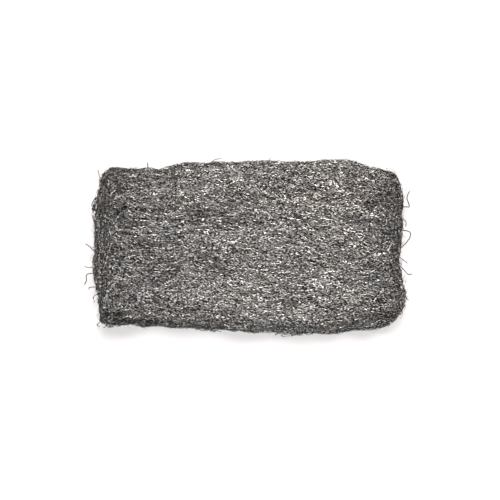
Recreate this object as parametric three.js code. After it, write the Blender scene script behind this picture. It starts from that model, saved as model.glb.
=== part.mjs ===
// A steel wool hand pad. One long ribbon of combed steel strands is wound flat, end over end, into a soft
// rectangular pad. Its two short ends are the folds of the ribbon. Its two long sides are the ribbon's raw
// edges, where the turns show as rounded layers with gaps between them. The ribbon's free end lies under the
// pad, near the left fold, and the pad's own weight has pressed the underside flat.
// Millimetres, +X along the pad, +Y across it to the back, +Z up, origin at the middle of the underside.

import * as THREE from "three";
import { SimplexNoise } from "three/addons/math/SimplexNoise.js";

const { clamp, degToRad, smoothstep } = THREE.MathUtils;

// The ribbon and how it is wound
const LENGTH = 112; // from fold to fold
const RIBBON_WIDTH = 62.5; // from raw edge to raw edge
const LAYER_THICKNESS = 4.75; // one layer of ribbon in the wound pad
const TURNS = 2; // each turn lays one layer over the middle and one under it
const FOLD_REACH = 8.5; // how far the outermost fold bulges past the flat stretch
const CROWN = 0.9; // how much each face is lower at the folds than in the middle
const EDGE_SQUARENESS = 5.5; // 2 is an oval section, and a higher value is a squarer one
const SETTLE = 1; // how deep the underside is pressed flat

// The gaps between the turns, and the ribbon's free end under the pad
const GAP_DEPTH = 2.4; // how deep a gap reaches in from the raw edge
const TAIL_FROM_END = 20; // from the left fold's outermost point to the free end
const TAIL_TAPER = 24; // the length over which the free end grows to a full layer
const TAIL_STEP = 1.5; // how far the skin stands proud at the free end
const TAIL_EDGE = 3; // the length of that step
const TAIL_RAG = 2.5; // how unevenly the free end is torn

// A tuck low in the front edge, where the fold was pressed in near the left corner
const TUCK_FROM_END = 13;
const TUCK_HALF_LENGTH = 9;
const TUCK_DEPTH = 6;
const TUCK_HEIGHT = 6.5; // above the underside
const TUCK_HALF_HEIGHT = 3.6;

// Relief of the strands: lumps, wisps that follow the ribbon, tufts, and torn raw edges
const LUMP = { height: 0.8, span: 30 };
const WISP = { height: 0.9, length: 14, width: 3.4, sway: 3, swayLength: 18 };
const TUFT = { height: 0.4, span: 4 };
const RAW_EDGE = { height: 1.3, span: 11 };
const STRAND_SEED = 20;

// The pad is soft and handled, so its outline is no plain rectangle. Each pair is a place from -1 to 1 along one
// side, and how far the side stands in there, as a share of this depth.
const STAND_IN = 6;
const BACK_SHAPE = [
  [-1, 0.17], [-0.8, 0.5], [-0.65, 0.57], [-0.35, 0], [-0.1, 0],
  [0.22, 0.2], [0.5, 0], [0.72, 0.1], [0.85, 0.5], [1, 0.43],
];
const FRONT_SHAPE = [
  [-1, 0.4], [-0.8, 0.2], [-0.6, 0.55], [-0.35, 0.47], [-0.1, 0.22], [0.15, 0.03],
  [0.27, 0], [0.5, 0.22], [0.7, 0.33], [0.85, 0.57], [1, 1],
];
const LEFT_SHAPE = [[-1, 0.4], [-0.75, 0.45], [-0.4, 0.22], [0, 0.2], [0.35, 0], [0.7, 0.08], [1, 0.3]];
const RIGHT_SHAPE = [[-1, 0.27], [-0.75, 0.07], [-0.5, 0.15], [-0.1, 0.27], [0.15, 0.05], [0.5, 0], [1, 0]];

// How finely the skin is divided
const FLAT_STEPS = 35; // along one face, between the folds
const FOLD_STEPS = 10; // round one fold
const FACE_STEPS = 20; // from the middle of a face to its rim
const EDGE_STEPS = 13; // from the rim to the middle of a raw edge

const STEEL = { color: 0x77736f, roughness: 0.55, metalness: 0.85 };

const halfWidth = RIBBON_WIDTH / 2;
const halfThickness = TURNS * LAYER_THICKNESS;
const foldCentre = LENGTH / 2 - FOLD_REACH;
const middleHeight = halfThickness - SETTLE;
const tailPlace = TAIL_FROM_END - LENGTH / 2;
const tuckPlace = TUCK_FROM_END - LENGTH / 2;
const noise = new SimplexNoise({ random: seededRandom(STRAND_SEED) });
const backStandIn = smoothCurve(BACK_SHAPE);
const frontStandIn = smoothCurve(FRONT_SHAPE);
const leftStandIn = smoothCurve(LEFT_SHAPE);
const rightStandIn = smoothCurve(RIGHT_SHAPE);

// How far a side stands in, as a smooth function of the place along it.
function smoothCurve(shape) {
  const places = shape.map((pair) => pair[0]);
  const depths = shape.map((pair) => pair[1] * STAND_IN);
  const curve = new THREE.CubicInterpolant(places, depths, 1, [0]);
  return (place) => curve.evaluate(clamp(place, -1, 1))[0];
}

// Random numbers from 0 to 1 that are the same in each run.
function seededRandom(seed) {
  const MULTIPLIER = 16807;
  const MODULUS = 2147483647;
  let state = seed;
  return () => {
    state = (state * MULTIPLIER) % MODULUS;
    return state / MODULUS;
  };
}

// The ribbon's way round the pad, seen from the front: along the top, round the right fold, back along the
// underside and round the left fold. Each column stands on a point of the middle line and faces outwards.
function windingColumns() {
  const columns = [];
  const station = (step) => -foldCentre + (2 * foldCentre * step) / FLAT_STEPS;
  for (let step = 0; step <= FLAT_STEPS; step++) {
    columns.push({ x: station(step), angle: 90, middle: step });
  }
  for (let step = 1; step < FOLD_STEPS; step++) {
    columns.push({ x: foldCentre, angle: 90 - (180 * step) / FOLD_STEPS, middle: FLAT_STEPS });
  }
  for (let step = FLAT_STEPS; step >= 0; step--) {
    columns.push({ x: station(step), angle: -90, middle: step });
  }
  for (let step = 1; step < FOLD_STEPS; step++) {
    columns.push({ x: -foldCentre, angle: -90 - (180 * step) / FOLD_STEPS, middle: 0 });
  }
  return withTravel(columns.map(withDirection));
}

function withDirection(column) {
  const angle = degToRad(column.angle);
  const outX = Math.abs(column.angle) === 90 ? 0 : Math.cos(angle);
  return { ...column, outX, outZ: Math.sin(angle) };
}

// Adds to each column how far round the winding it is, as an angle of one full turn.
function withTravel(columns) {
  const outermost = columns.map((c) => [c.x + c.outX * FOLD_REACH, c.outZ * halfThickness]);
  const travelled = [0];
  for (let i = 1; i <= columns.length; i++) {
    const [x, z] = outermost[i % columns.length];
    const [lastX, lastZ] = outermost[i - 1];
    travelled.push(travelled[i - 1] + Math.hypot(x - lastX, z - lastZ));
  }
  const wayRound = travelled.pop();
  return columns.map((c, i) => ({ ...c, wayRound, turn: (2 * Math.PI * travelled[i]) / wayRound }));
}

// Half of the pad's section across the ribbon, from the middle of the face to the middle of the raw edge.
// Both values are shares: across of the half width, and out of the half thickness.
function halfSection() {
  const other = (share) => (1 - share ** EDGE_SQUARENESS) ** (1 / EDGE_SQUARENESS);
  const rim = 2 ** (-1 / EDGE_SQUARENESS);
  const section = [];
  for (let step = 0; step <= FACE_STEPS; step++) {
    const across = (rim * step) / FACE_STEPS;
    section.push({ across, out: other(across) });
  }
  for (let step = 1; step <= EDGE_STEPS; step++) {
    const out = rim * (1 - step / EDGE_STEPS);
    section.push({ across: other(out), out });
  }
  return section;
}

// The way a column's skin faces at a place of the section: how much outwards, and how much across.
function facing(across, out) {
  const outwards = out ** (EDGE_SQUARENESS - 1) / halfThickness;
  const sideways = Math.abs(across) ** (EDGE_SQUARENESS - 1) / halfWidth;
  const length = Math.hypot(outwards, sideways);
  return { outwards: outwards / length, sideways: (Math.sign(across) * sideways) / length };
}

// Noise that runs on without a seam where the winding closes on itself.
function noiseRound(column, span, y, ySpan) {
  const radius = column.wayRound / (2 * Math.PI * span);
  return noise.noise3d(radius * Math.cos(column.turn), radius * Math.sin(column.turn), y / ySpan);
}

// How far along the free end's taper a column is: from 0 at the torn end to 1, and 0 again past the taper,
// where each gap has moved in by one whole layer.
function tailGrowth(column) {
  if (column.outZ > 0) return 0;
  return smoothstep(column.x, tailPlace, tailPlace + TAIL_TAPER) % 1;
}

// How far the underside's skin lies in from the full winding, from the ribbon's free end to the left fold.
function tailStep(column, y) {
  if (column.outZ > 0) return 0;
  const tornPlace = tailPlace + TAIL_RAG * noise.noise(y / RAW_EDGE.span, 0);
  const past = tornPlace - column.x - column.outX * FOLD_REACH;
  const rise = smoothstep(past, 0, TAIL_EDGE);
  return TAIL_STEP * rise * (1 - smoothstep(past, TAIL_EDGE, TAIL_FROM_END - TAIL_RAG));
}

// How deep the raw edge is drawn in between two layers of ribbon. Layers bulge round between their gaps.
function gapDepth(column, out) {
  const layersIn = (1 - out) * TURNS;
  const slide = tailGrowth(column) * smoothstep(out, 0, 1 / TURNS);
  const gap = Math.round(layersIn - slide) + slide;
  const offMiddle = 1 - 2 * Math.abs(layersIn - gap);
  const bulge = 1 - Math.sqrt(1 - clamp(offMiddle, 0, 1) ** 2);
  return GAP_DEPTH * bulge * smoothstep(gap, 0, 1);
}

// The pressed-in place low in the front edge.
function tuckDepth(x, z) {
  const along = (x - tuckPlace) / TUCK_HALF_LENGTH;
  const up = (z - TUCK_HEIGHT) / TUCK_HALF_HEIGHT;
  return TUCK_DEPTH * Math.exp(-(along ** 2) - up ** 2);
}

// How far the strands stand out from the smooth skin: lumps and tufts everywhere, wisps that sway as they run
// over the faces and folds, and a torn line on each layer's raw edge.
function relief(column, point, face, out) {
  const { x, y, z } = point;
  const lump = LUMP.height * noise.noise3d(x / LUMP.span, y / LUMP.span, z / LUMP.span);
  const tuft = TUFT.height * noise.noise3d(x / TUFT.span, y / TUFT.span, z / TUFT.span);
  const sway = WISP.sway * noiseRound(column, WISP.swayLength, y, WISP.swayLength);
  const wisp = WISP.height * noiseRound(column, WISP.length, y + sway, WISP.width);
  const layer = Math.sign(y) * (1 + Math.floor((1 - out) * TURNS));
  const torn = RAW_EDGE.height * noiseRound(column, RAW_EDGE.span, layer, 1);
  const fade = smoothstep(out, 0, 1 / (2 * TURNS));
  return lump + tuft + wisp * face.outwards + torn * Math.abs(face.sideways) * fade;
}

// One point of the pad's skin.
function skinPoint(column, across, out) {
  const { x, outX, outZ } = column;
  const drop = CROWN * (x / foldCentre) ** 2 + tailStep(column, across * halfWidth);
  const thickness = out * (halfThickness - drop);
  const reach = (outX * thickness * FOLD_REACH) / halfThickness;
  const sideStandIn = across < 0 ? frontStandIn : backStandIn;
  const foldStandIn = outX < 0 ? leftStandIn : rightStandIn;
  const point = new THREE.Vector3(
    x + reach - foldStandIn(across) * outX * out,
    across * (halfWidth - sideStandIn((x + reach) / (LENGTH / 2))),
    middleHeight + outZ * thickness,
  );
  const face = facing(across, out);
  const raised = relief(column, point, face, out);
  const drawnIn = gapDepth(column, out) + (across < 0 ? tuckDepth(point.x, point.z) : 0);
  point.x += raised * face.outwards * outX;
  point.y += (raised - drawnIn) * face.sideways;
  point.z += raised * face.outwards * outZ;
  point.z = Math.max(point.z, 0);
  return point;
}

// The skin as one closed surface. Each column runs over the ribbon from the front raw edge to the back one, and
// all columns meet on the middle line of both raw edges, where the top's points are also the underside's.
function padGeometry() {
  const columns = windingColumns();
  const backHalf = halfSection().slice(0, -1);
  const frontHalf = backHalf.slice(1).map((place) => ({ ...place, across: -place.across }));
  const across = [...frontHalf.reverse(), ...backHalf];
  const points = [];
  for (const column of columns) {
    for (const place of across) points.push(skinPoint(column, place.across, place.out));
  }
  const middleStart = { front: points.length, back: points.length + FLAT_STEPS + 1 };
  for (const side of [-1, 1]) {
    for (let step = 0; step <= FLAT_STEPS; step++) points.push(skinPoint(columns[step], side, 0));
  }

  const triangles = [];
  const last = across.length - 1;
  columns.forEach((column, i) => {
    const nextIndex = (i + 1) % columns.length;
    const here = i * across.length;
    const there = nextIndex * across.length;
    const addMiddle = (start, edge, turned) => {
      const a = here + edge;
      const b = there + edge;
      const c = start + columns[nextIndex].middle;
      const d = start + column.middle;
      const corners = c === d ? [a, d, b] : [a, c, b, a, d, c];
      triangles.push(...(turned ? corners.reverse() : corners));
    };
    addMiddle(middleStart.front, 0, false);
    for (let k = 0; k < last; k++) {
      triangles.push(here + k, there + k, there + k + 1, here + k, there + k + 1, here + k + 1);
    }
    addMiddle(middleStart.back, last, true);
  });
  return new THREE.BufferGeometry().setFromPoints(points).setIndex(triangles);
}

// Moves the skin so that the origin is at the middle of the box that holds it.
function centred(geometry) {
  geometry.computeBoundingBox();
  const middle = geometry.boundingBox.getCenter(new THREE.Vector3());
  return geometry.translate(-middle.x, -middle.y, 0);
}

const geometry = centred(padGeometry());
geometry.computeVertexNormals();

const pad = new THREE.Mesh(geometry, new THREE.MeshStandardMaterial(STEEL));
pad.name = "steel_wool_pad";

const part = new THREE.Group();
part.add(pad);

export default part;
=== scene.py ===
# A steel wool hand pad that lies flat on a pale floor, seen from the front and well above.
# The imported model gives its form, and about sixteen thousand curled steel strands lie over it.

import math
import random
from bisect import bisect
from itertools import accumulate

import bpy
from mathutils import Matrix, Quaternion, Vector, geometry, noise
from mathutils.bvhtree import BVHTree


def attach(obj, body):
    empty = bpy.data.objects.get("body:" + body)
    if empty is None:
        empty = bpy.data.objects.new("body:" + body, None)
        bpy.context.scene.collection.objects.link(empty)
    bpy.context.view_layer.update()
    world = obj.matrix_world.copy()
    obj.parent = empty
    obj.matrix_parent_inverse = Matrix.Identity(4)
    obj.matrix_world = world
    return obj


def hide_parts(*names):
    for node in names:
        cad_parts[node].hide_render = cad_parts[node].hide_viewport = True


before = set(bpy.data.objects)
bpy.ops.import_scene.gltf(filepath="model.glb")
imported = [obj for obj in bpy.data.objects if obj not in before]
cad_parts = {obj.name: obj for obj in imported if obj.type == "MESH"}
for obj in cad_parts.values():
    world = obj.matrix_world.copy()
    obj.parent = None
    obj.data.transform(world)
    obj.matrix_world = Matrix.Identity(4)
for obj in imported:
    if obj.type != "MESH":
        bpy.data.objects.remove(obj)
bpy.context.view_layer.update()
bpy.ops.object.select_all(action="DESELECT")


# The matted body. One ribbon of steel wool is wound flat with two turns, and its inner strands are matted
# together. Their colours are painted dark, as painted shade for their place deep under the outer strands. It
# keeps the imported form, drawn in a little, because the outer strands lie over it as pieces of their own.
MM = 0.001
WELD_GAP = 0.01 * MM
DRAWN_IN = 0.6 * MM
TUFT_SIZE = 1.1 * MM
TUFT_HEIGHT = 0.5 * MM


def new_group(name, inputs, outputs):
    group = bpy.data.node_groups.new(name, "ShaderNodeTree")
    for title, kind in inputs:
        group.interface.new_socket(title, in_out="INPUT", socket_type=kind)
    for title, kind in outputs:
        group.interface.new_socket(title, in_out="OUTPUT", socket_type=kind)
    return group


def set_inputs(tree, node, inputs):
    """Each input, by its name or number, is linked to a socket or set to a value."""
    for key, value in inputs.items():
        if isinstance(value, bpy.types.NodeSocket):
            tree.links.new(value, node.inputs[key])
        else:
            node.inputs[key].default_value = value
    return node


def add_node(tree, kind, inputs=None, **settings):
    node = tree.nodes.new(kind)
    for name, value in settings.items():
        setattr(node, name, value)
    return set_inputs(tree, node, inputs or {})


def calculate(tree, operation, *values):
    return add_node(tree, "ShaderNodeMath", dict(enumerate(values)), operation=operation).outputs[0]


def remap(tree, value, old, new):
    """The value carried from the old range to the new one, and held at its ends."""
    inputs = {"Value": value, "From Min": old[0], "From Max": old[1], "To Min": new[0], "To Max": new[1]}
    return add_node(tree, "ShaderNodeMapRange", inputs).outputs["Result"]


def blend(tree, share, first, second, how="MIX"):
    """The first colour where the share is 0, and the second, or what it does to the first, where it is 1."""
    node = add_node(tree, "ShaderNodeMix", data_type="RGBA", blend_type=how)
    return set_inputs(tree, node, {0: share, 6: first, 7: second}).outputs[2]


def cloud(tree, place, size, detail=2.0):
    """Soft noise from about 0.3 to 0.7, with patches of the given size."""
    inputs = {"Vector": place, "Scale": 1 / size, "Detail": detail, "Roughness": 0.5}
    return add_node(tree, "ShaderNodeTexNoise", inputs).outputs["Fac"]


def shifted(tree, place, shift, scale=(1, 1, 1)):
    inputs = {"Vector": place, "Location": shift, "Scale": scale}
    return add_node(tree, "ShaderNodeMapping", inputs).outputs["Vector"]


def attribute(tree, name):
    return add_node(tree, "ShaderNodeAttribute", attribute_name=name).outputs["Fac"]


def grouped(tree, group, inputs):
    node = add_node(tree, "ShaderNodeGroup", node_tree=group)
    return set_inputs(tree, node, inputs).outputs[0]


# Bare steel is a little uneven: warmer and cooler greys, and the first faint rust at the back right.
# Painted shade darkens the left end as well.
PATCH_SIZE = 13 * MM
PATCH_SHADES = (0.94, 1.06)
LEFT_SHADE_SPAN = (-50 * MM, 0)  # the left end, and where along the pad the painted shade is gone
LEFT_END_PAINTED_SHADE = 0.82
HUE_SIZE = 9 * MM
HUE_SHIFT = (0.4, 0, 0)  # keeps the hues from following the patches
COOLER = (0.985, 0.992, 1.012, 1)
WARMER = (1.015, 0.998, 0.98, 1)
RUST_FROM_MIDDLE = (33 * MM, 19 * MM)
RUST_REACHES = (6 * MM, 30 * MM)  # how far it is even, and where it ends
RUST_FLECK_SIZE = 3.5 * MM
RUST_TINT = (1.1, 1.0, 0.92, 1)

uneven_steel_and_shade = new_group(
    "uneven_steel_and_shade",
    [("Colour", "NodeSocketColor"), ("Rust", "NodeSocketFloat")],
    [("Colour", "NodeSocketColor")],
)
tree = uneven_steel_and_shade
given = add_node(tree, "NodeGroupInput")
place = add_node(tree, "ShaderNodeTexCoord").outputs["Object"]
patches = remap(tree, cloud(tree, place, PATCH_SIZE), (0.35, 0.65), PATCH_SHADES)
along = add_node(tree, "ShaderNodeSeparateXYZ", {"Vector": place}).outputs["X"]
# The patches' tones, times the painted shade that darkens the left end
shades = calculate(tree, "MULTIPLY", patches, remap(tree, along, LEFT_SHADE_SPAN, (LEFT_END_PAINTED_SHADE, 1.0)))
shaded = blend(tree, 1.0, given.outputs["Colour"], shades, "MULTIPLY")
hue = remap(tree, cloud(tree, shifted(tree, place, HUE_SHIFT), HUE_SIZE), (0.38, 0.62), (0.0, 1.0))
tinted = blend(tree, 1.0, shaded, blend(tree, hue, COOLER, WARMER), "MULTIPLY")
from_rust = shifted(tree, place, (-RUST_FROM_MIDDLE[0], -RUST_FROM_MIDDLE[1], 0))
distance = add_node(tree, "ShaderNodeVectorMath", {0: from_rust}, operation="LENGTH").outputs["Value"]
near_rust = remap(tree, distance, RUST_REACHES, (1.0, 0.0))
flecks = remap(tree, cloud(tree, place, RUST_FLECK_SIZE), (0.45, 0.62), (0.1, 1.0))
rusty = calculate(tree, "MULTIPLY", calculate(tree, "MULTIPLY", near_rust, flecks), given.outputs["Rust"])
add_node(tree, "NodeGroupOutput", {0: blend(tree, rusty, tinted, RUST_TINT, "MULTIPLY")})

# The inner strands show as the level lines of a cloud, which curl and cross as real strands do. The cloud's
# detail keeps them from running too smoothly.
LINE_DETAIL = 1.5
LINE_ROUGHNESS = 0.45
LINE_EDGES = (0.8, 1.0)  # how high a wave stands where a line begins, and where it is brightest

strand_lines = new_group(
    "strand_lines",
    [("Place", "NodeSocketVector"), ("Curl", "NodeSocketFloat"), ("Lines", "NodeSocketFloat")],
    [("Strands", "NodeSocketFloat")],
)
tree = strand_lines
given = add_node(tree, "NodeGroupInput")
inputs = {
    "Vector": given.outputs["Place"],
    "Scale": given.outputs["Curl"],
    "Detail": LINE_DETAIL,
    "Roughness": LINE_ROUGHNESS,
}
levels = add_node(tree, "ShaderNodeTexNoise", inputs).outputs["Fac"]
wave = calculate(tree, "SINE", calculate(tree, "MULTIPLY", levels, given.outputs["Lines"]))
add_node(tree, "NodeGroupOutput", {0: remap(tree, calculate(tree, "ABSOLUTE", wave), LINE_EDGES, (0.0, 1.0))})

# The matted strands' colours, painted dark as shade, their painted glints, and their bumps and shine
# Both colours are painted dark, as painted shade deep in the tangle: the gaps near black, the strands grey
MATTED_DARK = (0.005, 0.0049, 0.0048, 1)
MATTED_BRIGHT = (0.3, 0.29, 0.275, 1)
MATTED_LAYERS = (  # each one's brightness, shift, stretch, fineness of curls and number of level lines
    (1.0, (0, 0, 0), (0.4, 1, 1), 900, 20),
    (0.9, (0.3, 0.1, 0), (0.5, 0.9, 1), 800, 20),
    (0.7, (0.1, 0.5, 0.2), (0.9, 1, 0.8), 1000, 18),
)
GLINT_SPECKLE_SIZE = 0.4 * MM
GLINT_SPECKLE_STRETCH = (0.45, 1, 1)
MATTED_RUST = 0.8
BUMP_STRENGTH = 0.8
BUMP_HEIGHT = 0.2 * MM
MATTED_ROUGHNESS = (0.7, 0.42)  # between the strands, and on them
EDGE_TINT = (0.3, 0.3, 0.3, 1)  # keeps the steel from paling where it is seen edge on


def new_steel(name):
    """A bare steel material, its node tree, its shader, and the place on the pad as Object coordinates."""
    material = bpy.data.materials.new(name)
    material.use_nodes = True
    tree = material.node_tree
    shader = tree.nodes["Principled BSDF"]
    shader.inputs["Metallic"].default_value = 1.0
    shader.inputs["Specular Tint"].default_value = EDGE_TINT
    place = add_node(tree, "ShaderNodeTexCoord").outputs["Object"]
    return material, tree, shader, place


matted_steel, tree, shader, place = new_steel("matted_steel")
strands = 0
for share, shift, stretch, curl, lines in MATTED_LAYERS:
    inputs = {"Place": shifted(tree, place, shift, stretch), "Curl": curl, "Lines": lines}
    layer = calculate(tree, "MULTIPLY", grouped(tree, strand_lines, inputs), share)
    strands = calculate(tree, "MAXIMUM", strands, layer)
# Painted glints: a hard speckle leaves bright and dark stretches along the matted strands
glint_speckle = cloud(tree, shifted(tree, place, (0, 0, 0), GLINT_SPECKLE_STRETCH), GLINT_SPECKLE_SIZE, 0.0)
strands = calculate(tree, "MULTIPLY", strands, remap(tree, glint_speckle, (0.42, 0.58), (0.0, 1.0)))
# The tone here is the painted shade of the tuck
strands = calculate(tree, "MULTIPLY", strands, attribute(tree, "tone"))
bare = blend(tree, strands, MATTED_DARK, MATTED_BRIGHT)
colour = grouped(tree, uneven_steel_and_shade, {"Colour": bare, "Rust": MATTED_RUST})
inputs = {"Height": strands, "Strength": BUMP_STRENGTH, "Distance": BUMP_HEIGHT}
bump = add_node(tree, "ShaderNodeBump", inputs)
roughness = remap(tree, strands, (0.0, 1.0), MATTED_ROUGHNESS)
set_inputs(tree, shader, {"Base Color": colour, "Roughness": roughness, "Normal": bump.outputs["Normal"]})

body = bpy.data.objects.new("matted_body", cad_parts["steel_wool_pad"].data.copy())
bpy.context.scene.collection.objects.link(body)
body.select_set(True)
bpy.context.view_layer.objects.active = body
bpy.ops.object.mode_set(mode="EDIT")
bpy.ops.mesh.select_all(action="SELECT")
bpy.ops.mesh.remove_doubles(threshold=WELD_GAP)
bpy.ops.mesh.tris_convert_to_quads(face_threshold=math.pi, shape_threshold=math.pi)
bpy.ops.object.mode_set(mode="OBJECT")
smoothed = body.modifiers.new("smoothed", "SUBSURF")
smoothed.levels = 1
smoothed.render_levels = 1
bpy.ops.object.modifier_apply(modifier="smoothed")

# The outer strands are laid on this skin, as it is before the body is drawn in.
skin = BVHTree.FromObject(body, bpy.context.evaluated_depsgraph_get())
skin_faces = [(face.center.copy(), face.normal.copy(), face.area) for face in body.data.polygons]

drawn_in = body.modifiers.new("drawn_in", "DISPLACE")
drawn_in.strength = -DRAWN_IN
drawn_in.mid_level = 0
bpy.ops.object.modifier_apply(modifier="drawn_in")
tuft_noise = bpy.data.textures.new("tuft_noise", "CLOUDS")
tuft_noise.noise_scale = TUFT_SIZE
tufted = body.modifiers.new("tufted", "DISPLACE")
tufted.texture = tuft_noise
tufted.strength = TUFT_HEIGHT
bpy.ops.object.modifier_apply(modifier="tufted")

# The middle line of the tuck at the front left, in millimetres, and how far from it painted shade darkens the
# body and the strands
TUCK_LINE = ((-48, -28, 15), (-43, -29.4, 14), (-38.5, -29.4, 11), (-35, -27.5, 5))
TUCK = [Vector(spot) * MM for spot in TUCK_LINE]
TUCK_HALF_WIDTH = 0.8 * MM
TUCK_FADE = 2.4 * MM
DARKEST_SHADE = 0.1


def held(value, low, high):
    return min(max(value, low), high)


def painted_tuck_shade(spot):
    """Painted shade: 1 away from the tuck, and less in it, where the strands run down into the dark."""
    gaps = []
    for start, stop in zip(TUCK, TUCK[1:]):
        _, share = geometry.intersect_point_line(spot, start, stop)
        gaps.append((spot - start.lerp(stop, held(share, 0, 1))).length)
    return held((min(gaps) - TUCK_HALF_WIDTH) / TUCK_FADE, DARKEST_SHADE, 1)


# Painted shade in the tuck, kept as the tone of the body's points
shades = [painted_tuck_shade(vertex.co) for vertex in body.data.vertices]
body.data.attributes.new("tone", "FLOAT", "POINT").data.foreach_set("value", shades)
body.data.materials.clear()
body.data.materials.append(matted_steel)
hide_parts("steel_wool_pad")
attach(body, "root")


# The outer strands, a tangle of fine steel shavings over the whole pad. Each has three sharp corners and
# twists along its length, so that its flat sides catch the light in turn; painted glints and painted shade
# along it add to this. It follows the ribbon, curls as it goes, and is held only by its neighbours.
GLINT_LENGTH = 1.0 * MM  # how far apart a strand's painted glints and painted dark stretches lie
GLINT_EDGES = (0.44, 0.56)  # the narrower, the harder their edges
DARK_STRETCH = 0.03  # how bright a painted dark stretch still is
STRAND_DARK = (0.012, 0.0116, 0.0115, 1)
STRAND_BRIGHT = (1.0, 0.955, 0.91, 1)
GRAIN_SIZE = 0.6 * MM
STRAND_ROUGHNESS = (0.39, 0.6)

strand_steel, tree, shader, place = new_steel("strand_steel")
# Painted glints and shade along each strand, for its flat sides turning to and from the light
inputs = {"W": attribute(tree, "run"), "Scale": 1 / GLINT_LENGTH, "Detail": 0.0}
turns = add_node(tree, "ShaderNodeTexNoise", inputs, noise_dimensions="1D").outputs["Fac"]
stretches = remap(tree, turns, GLINT_EDGES, (DARK_STRETCH, 1.0))
glints = calculate(tree, "MULTIPLY", attribute(tree, "tone"), stretches)
bare = blend(tree, glints, STRAND_DARK, STRAND_BRIGHT)
colour = grouped(tree, uneven_steel_and_shade, {"Colour": bare, "Rust": 1.0})
roughness = remap(tree, cloud(tree, place, GRAIN_SIZE), (0.3, 0.7), STRAND_ROUGHNESS)
set_inputs(tree, shader, {"Base Color": colour, "Roughness": roughness})

# A strand's section: an even triangle in a circle a millimetre across, which each strand's width then scales
STRAND_CORNERS = 3

section = bpy.data.objects.new("strand_section", bpy.data.curves.new("strand_section", "CURVE"))
outline = section.data.splines.new("POLY")
outline.points.add(STRAND_CORNERS - 1)
for corner, point in enumerate(outline.points):
    angle = 2 * math.pi * corner / STRAND_CORNERS
    point.co = (math.cos(angle) * MM / 2, math.sin(angle) * MM / 2, 0, 1)
outline.use_cyclic_u = True

# How a strand runs. The pairs are ranges that its waves are drawn from, with lengths in millimetres.
STEP = 2.0 * MM
STRAND_POINTS = 10
LOWEST = 0.12 * MM  # how far a strand's middle stays above the floor
FACING_EDGE = 0.5  # below this, the skin is a raw edge, which faces the front or the back
SLOW_SHARES = (0.5, 1.1)  # how much of its curl a strand takes in long waves
SLOW_LENGTHS = (6, 14)
QUICK_SHARES = (0.3, 0.8)  # and how much in short ones
QUICK_LENGTHS = (5, 8)
HEAVES = (0.1, 0.4)  # how far it rises and sinks
HEAVE_LENGTHS = (5, 8)


def ribbon_way(normal):
    """The ribbon's direction on the skin: along the pad on its faces, and over the folds at its ends."""
    way = Vector((0, 1, 0)).cross(normal)
    if way.length < FACING_EDGE:
        way = Vector((1, 0, 0)) - normal * normal.x
    return way.normalized()


def some_wave(dice, size, lengths):
    """A wave's size, its length, and where along it a strand starts."""
    return size, dice.uniform(*lengths) * MM, dice.uniform(0, 2 * math.pi)


def wave_at(wave, run):
    size, length, phase = wave
    return size * math.sin(2 * math.pi * run / length + phase)


def lay_strand(dice, place, normal, turned, depth, lift, curl):
    """One strand's points on the skin, turned from the ribbon's way, with both ends lifted off it."""
    heading = Quaternion(normal, turned) @ ribbon_way(normal)
    slow = some_wave(dice, curl * dice.uniform(*SLOW_SHARES), SLOW_LENGTHS)
    quick = some_wave(dice, curl * dice.uniform(*QUICK_SHARES), QUICK_LENGTHS)
    heave = some_wave(dice, dice.uniform(*HEAVES) * MM, HEAVE_LENGTHS)
    lifts = (lift * dice.random(), lift)
    strand = []
    for index in range(STRAND_POINTS):
        run = index * STEP
        along = 2 * index / (STRAND_POINTS - 1) - 1
        rise = depth + lifts[along > 0] * along * along + wave_at(heave, run)
        spot = place + normal * rise
        spot.z = max(spot.z, LOWEST)
        strand.append(spot)
        heading = (heading - normal * heading.dot(normal)).normalized()
        swing = wave_at(slow, run) + wave_at(quick, run)
        ahead = place + Quaternion(normal, swing) @ heading * STEP
        place, normal, _, _ = skin.find_nearest(ahead)
    return strand


# How a strand twists and tapers, and how much of its brightness painted shade leaves in the tuck
TWIST = 1.2  # radians from one point to the next, at most
END_WIDTH = 0.5
IN_TUCK = 0.3


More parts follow.
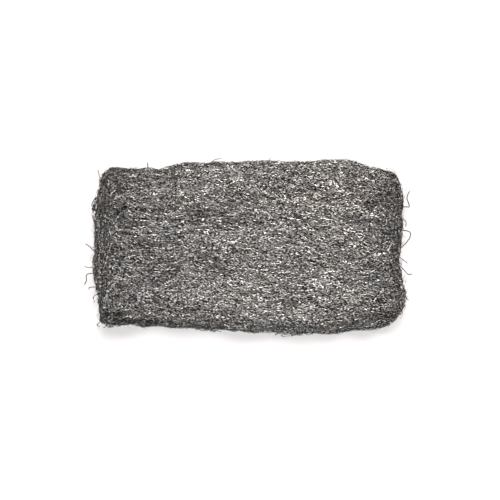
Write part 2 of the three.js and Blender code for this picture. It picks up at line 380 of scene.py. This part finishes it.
def strands_piece(name, strands, dice):
    """One mesh of strands, each given as its points, its width in millimetres and its tone.

    A tone of 0 is dark and 1 is bright. Every point carries its tone, darkened by painted shade in the tuck,
    and how far along the strand it lies.
    """
    curve = bpy.data.curves.new(name, "CURVE")
    curve.dimensions = "3D"
    curve.bevel_mode = "OBJECT"
    curve.bevel_object = section
    for points, width, _ in strands:
        spline = curve.splines.new("POLY")
        spline.use_smooth = False
        spline.points.add(len(points) - 1)
        spline.points.foreach_set("co", [number for spot in points for number in (*spot, 1)])
        twist = dice.uniform(-TWIST, TWIST)
        phase = dice.uniform(0, 2 * math.pi)
        for index, point in enumerate(spline.points):
            point.tilt = phase + twist * index
            point.radius = width * (END_WIDTH if index in (0, len(points) - 1) else 1)
    piece = bpy.data.objects.new(name, curve)
    bpy.context.scene.collection.objects.link(piece)
    bpy.ops.object.select_all(action="DESELECT")
    piece.select_set(True)
    bpy.context.view_layer.objects.active = piece
    bpy.ops.object.convert(target="MESH")
    piece = bpy.context.object
    bpy.ops.object.mode_set(mode="EDIT")
    bpy.ops.mesh.select_all(action="SELECT")
    bpy.ops.mesh.fill_holes(sides=STRAND_CORNERS)
    bpy.ops.object.mode_set(mode="OBJECT")
    tones = []
    runs = []
    for points, _, tone in strands:
        run = dice.random()
        before = points[0]
        for spot in points:
            run += (spot - before).length
            before = spot
            # Each point's tone, darkened by painted shade in the tuck
            tones += [tone * (IN_TUCK + (1 - IN_TUCK) * painted_tuck_shade(spot))] * STRAND_CORNERS
            runs += [run] * STRAND_CORNERS
    piece.data.attributes.new("tone", "FLOAT", "POINT").data.foreach_set("value", tones)
    piece.data.attributes.new("run", "FLOAT", "POINT").data.foreach_set("value", runs)
    piece.data.materials.append(strand_steel)
    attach(piece, "root")


# How the strands are combed over the skin
SWIRL = 0.5  # radians, the most that whole patches of strands turn together
SWIRL_SIZE = 14 * MM
FOLD_START = -44 * MM  # where the upper face begins to sweep round over the left fold
FOLD_SWEEP = 8 * MM


def cover(name, seed, count, belongs, spread, curl, depths, lifts, widths, tones, lean=0.0, sweep=0.0):
    """Strands that start all over the part of the skin whose normals belong.

    They lean away from the ribbon's way, give or take the spread, and sweep further round at the left fold.
    Depths, lifts and widths are in millimetres. The higher the first of the two tones, the more strands are
    bright, and the higher the second, the more are dark.
    """
    dice = random.Random(seed)
    part = [face for face in skin_faces if belongs(face[1])]
    shares = list(accumulate(area for _, _, area in part))
    starts = []
    for index in range(count):
        reached = (index + dice.random()) / count * shares[-1]
        starts.append(part[bisect(shares, reached)])
    strands = []
    for middle, normal, _ in starts:
        over_fold = held((FOLD_START - middle.x) / FOLD_SWEEP, 0, 1)
        combed = lean + sweep * over_fold + SWIRL * noise.noise(middle / SWIRL_SIZE)
        turned = combed + dice.choice((0, math.pi)) + dice.gauss(0, spread)
        depth = dice.uniform(*depths) * MM
        lift = dice.uniform(*lifts) * MM
        points = lay_strand(dice, middle, normal, turned, depth, lift, curl)
        strands.append((points, dice.uniform(*widths), dice.betavariate(*tones)))
    strands_piece(name, strands, dice)


# The upper face is combed along the pad. It has a lower layer of strands, and an upper one that is looser.
# Their tones differ at random, and the lower layer's are darker on the whole, as painted shade.
cover(
    "inner_top", seed=11, count=3300, belongs=lambda normal: normal.z > 0.6,
    lean=-0.14, sweep=-0.8, spread=0.3, curl=0.35,
    depths=(-0.6, -0.1), lifts=(0, 0.2), widths=(0.08, 0.15), tones=(0.5, 0.65),
)
cover(
    "outer_top", seed=12, count=3300, belongs=lambda normal: normal.z > 0.6,
    lean=-0.14, sweep=-0.8, spread=0.35, curl=0.4,
    depths=(-0.3, 0.3), lifts=(0, 0.3), widths=(0.08, 0.17), tones=(0.8, 0.4),
)
# The underside, pressed flat by the pad's own weight
cover(
    "underside", seed=13, count=2400, belongs=lambda normal: normal.z < -0.6,
    spread=0.5, curl=0.8,
    depths=(-0.4, 0.3), lifts=(0, 0.2), widths=(0.12, 0.2), tones=(0.7, 0.8),
)
# The two folds, where the ribbon turns. On the left one the strands run along the fold.
cover(
    "left_fold", seed=14, count=1500, belongs=lambda normal: normal.x < -0.5,
    lean=1.5, spread=0.3, curl=0.4,
    depths=(-0.6, 0.4), lifts=(0, 0.3), widths=(0.11, 0.18), tones=(0.6, 1.0),
)
cover(
    "right_fold", seed=15, count=1500, belongs=lambda normal: normal.x > 0.5,
    lean=1.0, spread=0.7, curl=0.9,
    depths=(-0.6, 0.4), lifts=(0, 0.3), widths=(0.11, 0.18), tones=(0.6, 0.9),
)
# The ribbon's raw edges, at the front and the back
cover(
    "raw_edges", seed=16, count=3300, belongs=lambda normal: abs(normal.y) > 0.5,
    spread=0.4, curl=0.7,
    depths=(-0.6, 0.4), lifts=(0, 0.3), widths=(0.1, 0.17), tones=(0.9, 0.6),
)


# The loose ends. Some shavings came free of the tangle when the ribbon was wound and handled, and stand out
# from the folds, the edges and the upper face. Each stays held by the tangle at one end at least. All places
# and sizes are in millimetres.
LINE_STEPS = 4  # straight pieces between two of a line's given points
LOOSE_ENDS = [
    [(-53.0, 20.8, 12), (-54.1, 24.3, 13), (-55.1, 28.0, 12)],
    [(-53.6, 20.9, 9), (-56.3, 13.8, 9.5), (-56.5, 10.6, 9), (-54.9, 7.7, 8)],
    [(-53.8, 19.5, 9), (-55.8, 16.8, 10), (-55.6, 13.5, 9), (-54.4, 11.5, 8)],
    [(-54.2, -3.6, 8), (-56.9, -0.8, 9), (-58.7, 0.5, 9)],
    [(-54.2, -8.0, 8), (-57.3, -8.2, 8), (-58.7, -7.7, 8)],
    [(-54.4, -9.7, 7), (-57.8, -10.4, 7), (-58.0, -12.8, 7), (-58.7, -13.9, 6)],
    [(-54.1, -14.8, 6), (-56.6, -14.8, 6), (-57.1, -15.7, 6)],
    [(-53.4, -16.7, 5), (-55.4, -18.2, 5), (-55.1, -20.1, 5)],
    [(-52.5, -26.4, 3), (-54.0, -27.8, 3), (-53.0, -28.4, 3)],
    [(-50.5, -26.2, 3), (-50.9, -28.3, 3), (-51.8, -28.9, 3)],
    [(52.7, 12.5, 10), (55.1, 14.2, 10), (57.3, 14.4, 10), (56.6, 17.7, 10), (57.7, 20.5, 10)],
    [(53.8, 10.2, 9), (55.9, 9.1, 9), (55.7, 6.8, 9)],
    [(54.2, 6.2, 8), (57.3, 5.3, 8), (57.1, 2.9, 8), (54.2, -0.6, 8)],
    [(52.0, -3.0, 7), (53.8, -4.3, 7), (56.2, -6.2, 7)],
    [(52.0, -6.0, 6), (53.8, -7.2, 6), (56.2, -10.0, 6), (57.7, -9.8, 6)],
    [(52.2, -12.0, 5), (54.4, -13.4, 5), (54.9, -14.6, 5)],
    [(52.2, -16.7, 4), (54.2, -17.3, 4), (56.6, -19.2, 4)],
    [(52.2, -20.0, 3), (55.3, -21.2, 3)],
    [(-36.3, 25.8, 14), (-36.8, 28.0, 14), (-37.0, 29.9, 14)],
    [(-14.2, 29.2, 15), (-12.7, 30.5, 15), (-10.2, 31.2, 15)],
    [(6.0, 28.5, 15), (6.6, 29.7, 15), (7.5, 31.4, 15)],
]
LOOSE_WIDTHS = (0.27, 0.43)
DIM_TONES = (0, 0.3)


def smooth_line(ends):
    """A smooth line through a few points."""
    spots = [Vector(spot) * MM for spot in ends]
    spots = [2 * spots[0] - spots[1]] + spots + [2 * spots[-1] - spots[-2]]
    line = []
    for before, start, stop, after in zip(spots, spots[1:], spots[2:], spots[3:]):
        for step in range(LINE_STEPS):
            share = step / LINE_STEPS
            line.append(
                start
                + (stop - before) * (share / 2)
                + (2 * before - 5 * start + 4 * stop - after) * (share * share / 2)
                + (3 * start - before - 3 * stop + after) * (share * share * share / 2)
            )
    return line + [spots[-2]]


dice = random.Random(17)
loose = []
for ends in LOOSE_ENDS:
    loose.append((smooth_line(ends), dice.uniform(*LOOSE_WIDTHS), dice.uniform(*DIM_TONES)))

# A few strands of the left fold have sprung out in low bows, which run from the back to the front.
BOWS = 10
FOLD_FACE = -54.4
BOW_ROOTS = (-52.6, -53)  # where its back and front ends are held, inside the fold
BOW_REACHES = (0.4, 2.4)  # how far it stands out from the fold's face
BOW_HEIGHTS = (6, 12)
BOW_BACKS = (17, 22)
BOW_FRONTS = (5, 12)
BOW_WIDTHS = (0.25, 0.4)

for _ in range(BOWS):
    reach = FOLD_FACE - dice.uniform(*BOW_REACHES)
    high = dice.uniform(*BOW_HEIGHTS)
    back = dice.uniform(*BOW_BACKS)
    front = dice.uniform(*BOW_FRONTS)
    ends = [
        (BOW_ROOTS[0], back, high),
        (reach, back - 4, high),
        (reach - 0.3, front + 3, high - 1),
        (BOW_ROOTS[1], front, high - 1),
    ]
    loose.append((smooth_line(ends), dice.uniform(*BOW_WIDTHS), dice.random()))

# Small tangled tufts hang on the raw front edge and at the front corners. Each is given by its middle and
# its size.
TUFTS = [
    ((-12.5, -29, 3), 1),
    ((14.2, -31, 3), 1.4),
    ((-16, -28.5, 3), 0.6),
    ((53, -20, 3), 1),
    ((-50, -26, 3), 0.8),
]
TUFT_STRANDS = 10
TUFT_POINTS = 6
TUFT_TURN = 2
TUFT_DEPTHS = (0.2, 1.4)  # how far its strands stand out, as shares of its size
TUFT_CURL = 3.5
TUFT_WIDTH = 0.22

for middle, size in TUFTS:
    for _ in range(TUFT_STRANDS):
        aside = Vector([dice.uniform(-size, size) for _ in range(3)])
        place, normal, _, _ = skin.find_nearest((Vector(middle) + aside) * MM)
        turned = dice.uniform(-TUFT_TURN, TUFT_TURN)
        depth = dice.uniform(*TUFT_DEPTHS) * size * MM
        line = lay_strand(dice, place, normal, turned, depth, 0, TUFT_CURL)
        loose.append((line[:TUFT_POINTS], TUFT_WIDTH, dice.uniform(*DIM_TONES)))

# Longer bright strands lie on the skin, three over the tuck and one near the right fold.
LAID_STRANDS = [
    [(-52.5, -21, 9), (-49.2, -24.9, 9), (-44, -26.2, 9), (-38.8, -27.5, 8)],
    [(-51, -20, 11), (-47, -24, 10), (-41, -25, 9.5), (-37, -28, 7)],
    [(-53, -18, 9), (-50, -23, 8), (-45, -27.5, 7), (-42, -29, 5)],
    [(43, -6.3, 17), (46, -6.1, 17), (49.5, -5.5, 16), (52.7, -5.6, 15)],
]
LAID_HEIGHT = 0.6
LAID_WIDTH = 0.3
LAID_TONE = 3.0  # above 1, so that hardly any stretch of them is dark

for ends in LAID_STRANDS:
    line = []
    for spot in smooth_line(ends):
        place, normal, _, _ = skin.find_nearest(spot)
        line.append(place + normal * LAID_HEIGHT * MM)
    loose.append((line, LAID_WIDTH, LAID_TONE))
strands_piece("loose_ends", loose, dice)

# Fuzz: fine strands whose ends stand up from the folds and the raw edges
cover(
    "fold_fuzz", seed=18, count=420, belongs=lambda normal: abs(normal.x) > 0.7,
    lean=1.0, spread=1.0, curl=1.1,
    depths=(-0.5, 0), lifts=(0.8, 2.4), widths=(0.1, 0.16), tones=(0.6, 1.5),
)
cover(
    "edge_fuzz", seed=19, count=420, belongs=lambda normal: abs(normal.y) > 0.7,
    spread=1.0, curl=1.1,
    depths=(-0.5, 0), lifts=(0.3, 1.3), widths=(0.1, 0.16), tones=(0.6, 1.5),
)


# The floor, a plain pale studio sweep of matt paper that the pad lies on. It shows as white, and keeps the
# pad's faint shadow along its front.
FLOOR_SIZE = 3.0
FLOOR_PAPER = (1.0, 0.91, 0.88, 1)
WHITE = (1, 1, 1, 1)
SHADOW_SHARE = 0.34  # how much of the floor's look near the pad comes from the light on it
SHADOW_ENDS = (0.1, 0.3)  # how far from the pad's middle the shadow begins to fade, and where it is gone

bpy.ops.object.select_all(action="DESELECT")
bpy.ops.mesh.primitive_plane_add(size=FLOOR_SIZE, location=(0, 0, 0))
floor = bpy.context.object
floor.name = "floor"
paper = bpy.data.materials.new("white_paper")
paper.use_nodes = True
tree = paper.node_tree
tree.nodes.remove(tree.nodes["Principled BSDF"])
lit = add_node(tree, "ShaderNodeBsdfDiffuse", {"Color": FLOOR_PAPER})
white = add_node(tree, "ShaderNodeEmission", {"Color": WHITE, "Strength": 1.0})


def seen_directly(tree):
    """1 for what the camera sees directly, in a reflection or through glass, and 0 for other light."""
    path = add_node(tree, "ShaderNodeLightPath")
    seen = calculate(tree, "MAXIMUM", path.outputs["Is Camera Ray"], path.outputs["Is Glossy Ray"])
    return calculate(tree, "MAXIMUM", seen, path.outputs["Is Transmission Ray"])


place = add_node(tree, "ShaderNodeTexCoord").outputs["Object"]
distance = add_node(tree, "ShaderNodeVectorMath", {0: place}, operation="LENGTH").outputs["Value"]
plain = remap(tree, distance, SHADOW_ENDS, (1 - SHADOW_SHARE, 1.0))
share = calculate(tree, "MULTIPLY", seen_directly(tree), plain)
mixed = add_node(tree, "ShaderNodeMixShader", {0: share, 1: lit.outputs[0], 2: white.outputs[0]})
tree.links.new(mixed.outputs[0], tree.nodes["Material Output"].inputs["Surface"])
floor.data.materials.append(paper)


# The studio's light: a soft square lamp above the pad and a little behind it, which draws the faint shadow
# along the front, and an even pale room that is white where the camera sees it.
LAMP_PLACE = Vector((0.03, 0.05, 0.9))
LAMP_SIZE = 0.3
LAMP_WATTS = 9
ROOM_LIGHT = 0.25

lamp = bpy.data.objects.new("soft_lamp", bpy.data.lights.new("soft_lamp", "AREA"))
lamp.data.size = LAMP_SIZE
lamp.data.energy = LAMP_WATTS
lamp.location = LAMP_PLACE
lamp.rotation_mode = "QUATERNION"
lamp.rotation_quaternion = (-LAMP_PLACE).to_track_quat("-Z", "Y")
bpy.context.scene.collection.objects.link(lamp)

room = bpy.data.worlds.new("room")
bpy.context.scene.world = room
room.use_nodes = True
tree = room.node_tree
strength = remap(tree, seen_directly(tree), (0.0, 1.0), (ROOM_LIGHT, 1.0))
set_inputs(tree, tree.nodes["Background"], {"Color": WHITE, "Strength": strength})


# The camera, a long lens on a stand in front of the pad. It looks down at the photograph's angle, from about
# 70 degrees above the floor.
VIEW_ELEVATION = math.radians(70)
VIEW_DISTANCE = 0.42
VIEW_TARGET = Vector((0, -1.9 * MM, 9 * MM))
LENS = 85

camera = bpy.data.objects.new("camera", bpy.data.cameras.new("camera"))
camera.data.lens = LENS
back = Vector((0, -math.cos(VIEW_ELEVATION), math.sin(VIEW_ELEVATION)))
camera.location = VIEW_TARGET + back * VIEW_DISTANCE
camera.rotation_mode = "QUATERNION"
camera.rotation_quaternion = (-back).to_track_quat("-Z", "Y")
bpy.context.scene.collection.objects.link(camera)
bpy.context.scene.camera = camera
bpy.context.scene.view_settings.view_transform = "Standard"
